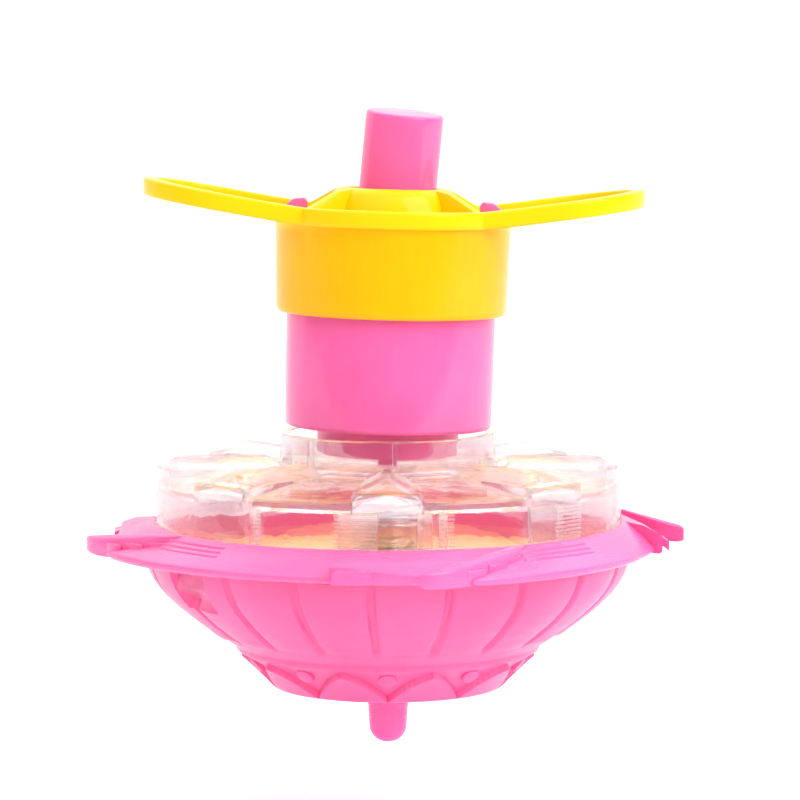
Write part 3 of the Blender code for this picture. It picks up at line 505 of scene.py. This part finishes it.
bm = bmesh.new()
rings = []
for quarter in range(4):
    parts = (
        (ribShape, 10, ribLine, lambda r: ribLine(r) + ring["ribWidth"]),
        (bladeShape, 64, lambda r: ribLine(r) + ring["ribWidth"], rampLine),
        (rampShape, 30, rampLine, lambda r: ribLine(r) + 90),
    )
    for shape, cuts, start, end in parts:
        for i in range(cuts + 1):
            rings.append(ringSection(shape, i / cuts, quarter, start, end))
loft(bm, rings)
for quarter in range(4):
    for k, radius in enumerate(ring["bars"]):
        side = ribLine(radius) + ring["ribWidth"]
        bar = [(radius - 0.3, -1.0), (radius + 0.5, -1.0), (radius - 0.5, 2.5), (radius - 1.3, 2.5)]
        top = 34.9 + 0.45 * k
        prism(bm, bar, top - 1.6, top + 0.3, around(ring["tipAzimuth"] + 90 * quarter + side), 0.2)
    turn = around(ring["tipAzimuth"] + 90 * quarter)
    corners = [(41.4, -9.0, 36.3), (45.3, -12.2, 34.9), (45.3, -6.0, 34.9), (45.3, -12.2, 33.2),
               (45.3, -6.0, 33.2)]
    apex, left, right, leftLow, rightLow = [bm.verts.new(turn @ Vector(c)) for c in corners]
    for face in ((apex, left, right), (left, leftLow, rightLow, right), (apex, leftLow, left),
                 (apex, right, rightLow), (apex, rightLow, leftLow)):
        bm.faces.new(face)
    for k, radius in enumerate(ring["ridges"]):
        ridge = []
        for i in range(17):
            spot = polar(radius, 26 + 20 * i / 16, 37.45 - 0.65 * (radius - 39.5) + 0.02)
            ridge.append([turn @ (spot + polar(a, 26 + 20 * i / 16, b)) for a, b in
                          ((-0.28, -0.2), (-0.12, 0.2), (0.12, 0.12), (0.28, -0.35))])
        made = loft(bm, ridge, wrapAlong=False)
        bm.faces.new(made[0])
        bm.faces.new(list(reversed(made[-1])))
addPiece("blade_ring_swept", bm, "top", ringLook, ["blade_ring"], sharp=40)
print("blade ring made")

# clear drum with its collar and petals
cover = {
    "petals": 8,
    "deckRim": 44.7,
    "deckMiddle": 46.5,
    "eave": 46.2,
    "ridge": 48.2,
    "drumTop": 38.3,
    "drumBottom": 38.75,
    "wall": 1.4,
    "collar": 17.85,
    "collarTop": 52.1,
    "floor": 45.6,
}


def petalHalf(radius):
    return 3.4 + 2.1 * (radius - 18) / 20


def coverColumns():
    # (which side of the petal, share) of each column across one petal and its valley
    return [(-1, 0.0), (-1, 0.35), (-1, 0.75), (-1, 1.0), (0, -1.0), (0, -0.9), (0, -0.45), (0, 0.0),
            (0, 0.45), (0, 0.9), (0, 1.0), (1, 1.0), (1, 0.75), (1, 0.35)]


def coverTop(radius, column, drop):
    kind, share = column
    deck = cover["deckMiddle"] + (cover["deckRim"] - cover["deckMiddle"]) * smoothStep(18, 38.3, radius)
    half = math.degrees(math.asin(min(1.0, petalHalf(radius) / radius)))
    if kind:
        edge = half + 0.5
        angle = kind * (22.5 + (edge - 22.5) * share)
        return angle, deck - drop
    hip = smoothStep(cover["drumTop"] + 0.4, cover["drumTop"] - 4.2, radius) if radius > 30 else 1.0
    hip *= smoothStep(16.5, 20.5, radius) * 0.7 + 0.3
    height = cover["eave"] + (cover["ridge"] - cover["eave"]) * hip * (1 - abs(share)) ** 0.8
    return half * share, height - drop


def coverRing(radius, petal, drop):
    spots = []
    for column in coverColumns():
        angle, height = coverTop(radius, column, drop)
        spots.append(polar(radius, 45 * petal + angle, height))
    return spots


def coverRow(radius, drop):
    return [p for petal in range(cover["petals"]) for p in coverRing(radius, petal, drop)]


def flatRow(radius, height):
    made = []
    for petal in range(cover["petals"]):
        for column in coverColumns():
            angle, _ = coverTop(max(radius, 18), column, 0)
            made.append(polar(radius, 45 * petal + angle, height))
    return made


bm = bmesh.new()
wall = cover["wall"]
foot = cover["drumBottom"]
rows = [flatRow(16.3, 46.9), flatRow(16.3, 51.9), flatRow(16.5, cover["collarTop"])]
rows += [flatRow(17.5, cover["collarTop"]), flatRow(17.75, 51.9)]
rows += [flatRow(cover["collar"], 49.0), flatRow(18.0, 47.4)]
rows += [coverRow(r, 0) for r in (18.3, 20.5, 23, 26, 29, 32, 34.2, 35.6, 36.9, 37.8, 38.2)]
rows += [[Vector((p.x * 1.006, p.y * 1.006, p.z - 0.35)) for p in coverRow(38.2, 0)]]
rows += [flatRow(38.5, 43.8), flatRow(38.65, 40.4), flatRow(foot, 37.2), flatRow(foot - wall, 37.2)]
rows += [flatRow(38.5 - wall, 41.5), flatRow(38.3 - wall, 42.8)]
rows += [coverRow(r, 1.5) for r in (36.2, 34.6, 32, 29, 26, 23, 20.5, 18.3)]
rows += [flatRow(16.3, cover["floor"]), flatRow(3.0, cover["floor"])]
loft(bm, rows, wrapAlong=False)
bottom = [(3.0, cover["floor"]), (3.0, 46.9), (16.3, 46.9)]
rows = [flatRow(r, z) for r, z in bottom]
loft(bm, rows, wrapAlong=False)
addPiece("gem_cover", bm, "top", clearPlastic, ["clear_cover"], sharp=20)

bm = bmesh.new()
for azimuth, width in ((236, 1.6), (263, 6.2), (279, 2.4), (283.5, 1.4), (312, 7.2)):
    half = width / 2
    outline = [(36.6, -half), (37.3, -half), (37.3, half), (36.6, half)]
    prism(bm, outline, 37.3, 43.0, around(azimuth), 0.12, 1)
for azimuth in (221, 274):
    fin = [(15.6, -0.4), (16.4, -0.4), (16.4, 0.4), (15.6, 0.4)]
    prism(bm, fin, 47.0, 51.8, around(azimuth), 0.1, 1)
addPiece("cover_inner_ribs", bm, "top", clearPlastic)

bm = bmesh.new()
for azimuth, width in ((262.5, 6.6), (284.0, 2.4), (318.0, 6.2), (238.0, 1.6)):
    half = width / 2
    for k in range(9):
        line = [(38.66, -half), (38.86, -half), (38.86, half), (38.66, half)]
        prism(bm, line, 37.6 + 0.62 * k, 37.95 + 0.62 * k, around(azimuth), 0.06, 1)
addPiece("cover_grip_lines", bm, "top", clearPlastic)

bm = bmesh.new()
for azimuth in bowl["windows"]:
    tab = [(37.3, -3.9), (39.1, -3.9), (39.1, 3.9), (37.3, 3.9)]
    prism(bm, tab, 28.3, 31.3, around(azimuth), 0.35)
addPiece("cover_snap_tabs", bm, "top", tabLook)
print("clear cover made")

# launcher barrel, and the spindle that drives the top
barrel = {"bottom": 53.1, "radius": 17.1, "top": 84.5, "wall": 1.6, "steps": 128, "hookWidth": 5.2}
bm = bmesh.new()
inside = barrel["radius"] - barrel["wall"]
low, high = barrel["bottom"], barrel["top"]
outline = roundedOutline([
    (12.0, low, 0.1), (16.85, low, 0.2), (barrel["radius"], 53.6, 0.3), (17.2, 60.0, 0.2),
    (17.35, high, 0.3), (inside, high, 0.1), (inside, 54.7, 0.3), (12.0, 54.7, 0.1),
], 0.2)
spinOutline(bm, outline, barrel["steps"])
for azimuth in (0, 180):
    hook = roundedOutline([
        (14.2, 82.0, 0), (16.6, 82.0, 0), (16.6, 88.0, 0.15), (18.3, 88.0, 0.2), (18.3, 88.8, 0.3),
        (16.6, 90.3, 0.5), (14.6, 90.5, 0.5), (14.2, 89.8, 0.3),
    ], 0.2)
    prism(bm, hook, 0, barrel["hookWidth"], upright(azimuth, barrel["hookWidth"] / 2), 0.25)
addPiece("barrel_moulded", bm, "launcher", barrelLook, ["launcher_barrel"], launcherLean, sharp=35)

spindle = {"spigot": 11.7, "bottom": 48.3, "dogs": (30, 150, 270)}
bm = bmesh.new()
foot, spigot = spindle["bottom"], spindle["spigot"]
outline = roundedOutline([
    (0, foot, 0), (spigot, foot, 0.3), (spigot, 55.3, 0.1), (14.8, 55.3, 0.2), (14.8, 56.9, 0.2), (4.4, 56.9, 0.3),
    (4.4, 71.0, 0.1), (3.4, 71.0, 0.1), (3.4, 76.4, 0.1), (2.7, 76.4, 0.1), (2.7, 77.9, 0.2), (0, 77.9, 0),
], 0.1)
spinOutline(bm, outline, 96)
for azimuth in spindle["dogs"]:
    dog = [(8.0, -1.5), (11.0, -1.5), (11.0, 1.5), (8.0, 1.5)]
    prism(bm, dog, 47.4, 48.6, around(azimuth), 0.2)
addPiece("spindle_turned", bm, "spindle", spigotBrightenedLook, ["drive_spindle"], launcherLean, sharp=35)
print("barrel and spindle made")

# yellow cap with its turret and finger loops
cap = {
    "floor": 87.7,
    "skirtBottom": 71.8,
    "rim": 19.35,
    "loopTip": 40.35,
    "loopHalf": 12.6,
    "rise": 8.8,
    "leave": 48,
    "strapHigh": 2.9,
    "strapThick": 2.1,
}


def strapLine():
    leave = cap["leave"]
    wide = cap["loopHalf"]
    front = [polar(cap["rim"], -90 + leave * i / 14) for i in range(-14, 15)]
    loop = [(19.6, -wide), (22, -wide), (25, -wide), (27.6, 0.1 - wide), (30, -12.1), (32.4, -11.3), (34.6, -9.9),
            (36.6, -8.3), (38.2, -6.4), (39.4, -4.2), (40.1, -2.0)]
    side = [Vector((x, y, 0)) for x, y in loop] + [Vector((cap["loopTip"], 0, 0))]
    side += [Vector((x, -y, 0)) for x, y in reversed(loop)]
    path = front + side + [Vector((-p.x, -p.y, 0)) for p in front] + [Vector((-p.x, -p.y, 0)) for p in side]
    start = cap["rim"] * math.sin(math.radians(leave)) + 1
    tilt = math.tan(math.radians(cap["rise"]))
    return [Vector((p.x, p.y, cap["floor"] + 0.15 + max(0, abs(p.x) - start) * tilt)) for p in path]


bm = bmesh.new()
hem, deck = cap["skirtBottom"], cap["floor"]
outline = roundedOutline([
    (7.6, 92.2, 0.15), (8.7, 92.5, 0.3), (9.9, 91.9, 0.6), (10.7, 90.2, 0.8), (11.2, deck, 0.5), (18.0, deck, 0.2),
    (19.6, 87.5, 0.4), (19.45, 85.5, 0.3), (19.05, 72.6, 0.2), (18.75, hem, 0.25), (17.8, hem, 0.15),
    (17.8, 86.2, 0.3), (9.6, 86.2, 0.2), (9.2, 89.6, 0.3), (7.6, 90.6, 0.2),
], 0.2)
spinOutline(bm, outline, 128)
path = strapLine()
rings = []
section = roundedOutline([(1, 1), (-1, 1), (-1, -1), (1, -1)], 0.42, 4)
for i, centre in enumerate(path):
    along = path[(i + 1) % len(path)] - path[i - 1]
    out = Vector((along.y, -along.x, 0)).normalized()
    rings.append([centre + out * (cap["strapThick"] / 2 * a) + Vector((0, 0, cap["strapHigh"] / 2 * b))
                  for a, b in section])
loft(bm, rings)
rib = [(9.0, 87.2), (18.8, 87.2), (18.8, 88.8), (12.0, 92.0), (9.0, 92.3)]
for azimuth in (40, 140, 220, 320):
    prism(bm, rib, 0, 1.6, upright(azimuth, 0.8), 0.25)
addPiece("cap_with_loops", bm, "launcher", capLook, ["handle_cap"], launcherLean, sharp=35)
print("cap made")

# release button
button = {"radius": 6.4, "top": 21.0, "flange": 8.4, "wall": 1.3}
bm = bmesh.new()
side, top, flange = button["radius"], button["top"], button["flange"]
bore = side - button["wall"]
outline = roundedOutline([
    (0, top, 0), (5.9, top, 0.15), (6.3, 20.75, 0.2), (side, 19.8, 0.5), (side, 0.6, 0.1), (flange, 0.6, 0.2),
    (flange, -1.0, 0.2), (bore, -1.0, 0.1), (bore, 19.6, 0.3), (1.5, 19.6, 0.1), (1.5, 14.0, 0.1), (0, 14.0, 0),
], 0.1)
spinOutline(bm, outline, 96)
addPiece("button_moulded", bm, "button", barrelLook, ["release_button"], buttonLean, sharp=35)

# spring under the button, carried by the launcher with its lower end on the mechanism plate
coil = {"radius": 3.8, "wire": 0.3, "low": -5.2, "high": 18.9, "turns": 8, "travel": 2.8}
bm = bmesh.new()
rings = []
for i in range(coil["turns"] * 32 + 1):
    turn = 360 * i / 32
    height = coil["low"] + (coil["high"] - coil["low"]) * i / (coil["turns"] * 32)
    section = []
    for k in range(10):
        bend = math.tau * k / 10
        reach = coil["radius"] + coil["wire"] * math.cos(bend)
        section.append(polar(reach, turn, height + coil["wire"] * math.sin(bend)))
    rings.append(section)
made = loft(bm, rings, wrapAlong=False)
for end in (made[0], made[-1]):
    bm.faces.new(end)
steel = slotLooks["spring_steel"]
spring = addPiece("button_coil", bm, "launcher", steel, ["button_spring"], buttonLean, sharp=50)
seat = buttonLean @ Vector((0, 0, coil["low"]))
tuple(seat * mm)
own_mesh(spring)

# peg the top spins on
peg = {"radius": 3.15, "roundHeight": 3.1, "head": 5.6, "top": 13.0}
bm = bmesh.new()
outline = [(0, 0)]
for k in range(1, 16):
    bend = math.radians(6 * k)
    outline.append((peg["radius"] * math.sin(bend) ** 0.9, peg["roundHeight"] * (1 - math.cos(bend))))
outline += [(3.35, 6.5), (3.5, 7.7), (3.5, 11.4), (peg["head"], 11.4), (peg["head"], peg["top"])]
outline += [(0, peg["top"])]
spinOutline(bm, outline, 64)
addPiece("peg_turned", bm, "top", pegBrightenedLook, ["spin_tip"], sharp=35)

# button cells, stacked in the middle
cells = {
    "radius": 5.8,
    "height": 5.2,
    "bottoms": {"cell_lower": 23.0, "cell_middle": 28.5, "cell_upper": 34.0},
}
for name, low in cells["bottoms"].items():
    bm = bmesh.new()
    top = low + cells["height"]
    side = cells["radius"]
    outline = roundedOutline([
        (0, top, 0), (4.5, top, 0.2), (4.9, top - 0.15, 0.1), (4.95, top - 0.55, 0.05), (5.3, top - 0.6, 0.1),
        (5.75, top - 0.75, 0.25), (side, top - 1.4, 0.2), (side, low + 0.3, 0.3), (5.5, low, 0.2), (0, low, 0),
    ], 0.1)
    spinOutline(bm, outline, 64)
    addPiece(name + "_can", bm, "top", slotLooks["cell_steel"], [name], sharp=35)
print("button, peg and cells made")

# the launcher is held by its loops, so the floor lies just where a released top lands
studio = {
    "floorHeight": -0.0151,
    "sweep": 1.12,
    "room": 0.45,
    "ceiling": 1.1,
    "key": 4.2,
    "fill": 0.3,
    "lampSize": 0.6,
    "aim": (0, 0, 0.06),
    "lens": 163.7,
    "cameraSpot": (0.002, -0.6, 0.114),
    "cameraDown": 5.4,
}
floorMesh = bpy.data.meshes.new("floor")
bm = bmesh.new()
bmesh.ops.create_grid(bm, x_segments=4, y_segments=4, size=3.0)
bmesh.ops.translate(bm, vec=(0, 2.7, studio["floorHeight"]), verts=bm.verts)
bm.to_mesh(floorMesh)
bm.free()
floor = bpy.data.objects.new("floor", floorMesh)
bpy.context.scene.collection.objects.link(floor)
floorPaint = Paint("floor")
floorPaint.set(
    Base_Color=floorPaint.mix(floorPaint.noise(6.0), (0.95, 0.95, 0.95, 1), (0.97, 0.97, 0.97, 1)),
    Roughness=0.9,
)
floorMesh.materials.append(floorPaint.material)

world = bpy.data.worlds.new("studio")
bpy.context.scene.world = world
world.use_nodes = True
# a white sweep behind and beside the object, a dimmer room in front of it, a bright ceiling
nodes, links = world.node_tree.nodes, world.node_tree.links
backdrop = nodes["Background"]
way = nodes.new("ShaderNodeTexCoord")
parts = nodes.new("ShaderNodeSeparateXYZ")
links.new(way.outputs["Generated"], parts.inputs[0])
fades = []
for axis, low, high, start, end in (("Y", 0.25, 0.36, studio["room"], studio["sweep"]),
                                    ("Z", 0.3, 0.8, 0.0, studio["ceiling"])):
    fade = nodes.new("ShaderNodeMapRange")
    fade.interpolation_type = "SMOOTHSTEP"
    links.new(parts.outputs[axis], fade.inputs["Value"])
    for key, value in (("From Min", low), ("From Max", high), ("To Min", start), ("To Max", end)):
        fade.inputs[key].default_value = value
    fades.append(fade)
total = nodes.new("ShaderNodeMath")
for socket, fade in zip(total.inputs, fades):
    links.new(fade.outputs[0], socket)
# the sweep is seen white from every side, while the object is lit by the dimmer room as well
rays = nodes.new("ShaderNodeLightPath")
seen = nodes.new("ShaderNodeMix")
seen.inputs[3].default_value = studio["sweep"]
links.new(rays.outputs["Is Camera Ray"], seen.inputs[0])
links.new(total.outputs[0], seen.inputs[2])
links.new(seen.outputs[0], backdrop.inputs["Strength"])
backdrop.inputs["Color"].default_value = (1, 1, 1, 1)


def softLight(name, spot, power):
    lamp = bpy.data.lights.new(name, "AREA")
    lamp.shape = "RECTANGLE"
    lamp.size = lamp.size_y = studio["lampSize"]
    lamp.energy = power
    holder = bpy.data.objects.new(name, lamp)
    bpy.context.scene.collection.objects.link(holder)
    holder.location = spot
    holder.rotation_euler = (Vector(studio["aim"]) - Vector(spot)).to_track_quat("-Z", "Y").to_euler()


softLight("key", (0.5, -0.45, 0.5), studio["key"])
softLight("fill", (-0.35, -0.6, 0.55), studio["fill"])

camera = bpy.data.cameras.new("camera")
camera.lens = studio["lens"]
camera.sensor_width = 36
camera.clip_start = 0.01
camera.clip_end = 20
viewer = bpy.data.objects.new("camera", camera)
bpy.context.scene.collection.objects.link(viewer)
viewer.location = studio["cameraSpot"]
viewer.rotation_euler = (math.radians(90 - studio["cameraDown"]), 0, 0)
bpy.context.scene.camera = viewer
bpy.context.scene.view_settings.view_transform = "Standard"
